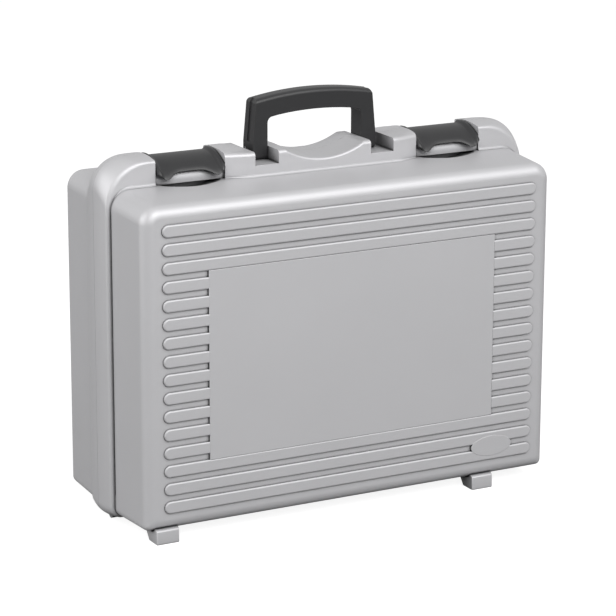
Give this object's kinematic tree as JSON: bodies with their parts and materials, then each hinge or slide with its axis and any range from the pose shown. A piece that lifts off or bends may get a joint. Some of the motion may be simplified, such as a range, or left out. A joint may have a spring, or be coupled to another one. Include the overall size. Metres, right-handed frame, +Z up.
{
  "type": "plastic carrying case",
  "caption": "Hard plastic carrying case with ribbed faces, a raised collar, a folding handle, lever latches and a bottom-hinged lid.",
  "frame": {"origin": "on the floor, under the middle of the shut case's bounding box", "axes": "+Z up, -Y out of the front face, +X to the right as seen from the front"},
  "size_m": [0.466, 0.19, 0.41],
  "materials": {
    "silver_plastic": "satin moulded polypropylene in silver grey",
    "black_plastic": "satin moulded plastic in black",
    "pin_steel": "drawn steel wire"
  },
  "bodies": {
    "rear_half": {"rear_shell": "silver_plastic", "left_handle_pin": "pin_steel", "right_handle_pin": "pin_steel", "left_latch_pin": "pin_steel", "right_latch_pin": "pin_steel", "left_hinge_pin": "pin_steel", "right_hinge_pin": "pin_steel"},
    "front_half": {"front_shell": "silver_plastic"},
    "carrying_handle": {"handle": "black_plastic"},
    "latch_on_left": {"left_latch": "black_plastic"},
    "latch_on_right": {"right_latch": "black_plastic"}
  },
  "joints": [
    {"name": "lid_hinge", "type": "hinge", "parent": "rear_half", "child": "front_half", "pos_m": [0, 0, 0.005], "axis": [1, 0, 0], "range_deg": [0, 180]},
    {"name": "handle_fold", "type": "hinge", "parent": "rear_half", "child": "carrying_handle", "pos_m": [0, 0.007, 0.3535], "axis": [-1, 0, 0], "range_deg": [0, 90]},
    {"name": "left_latch_lift", "type": "hinge", "parent": "rear_half", "child": "latch_on_left", "pos_m": [-0.1425, 0.0125, 0.35215], "axis": [-1, 0, 0], "range_deg": [0, 100]},
    {"name": "right_latch_lift", "type": "hinge", "parent": "rear_half", "child": "latch_on_right", "pos_m": [0.1425, 0.0125, 0.35215], "axis": [-1, 0, 0], "range_deg": [0, 100]}
  ]
}
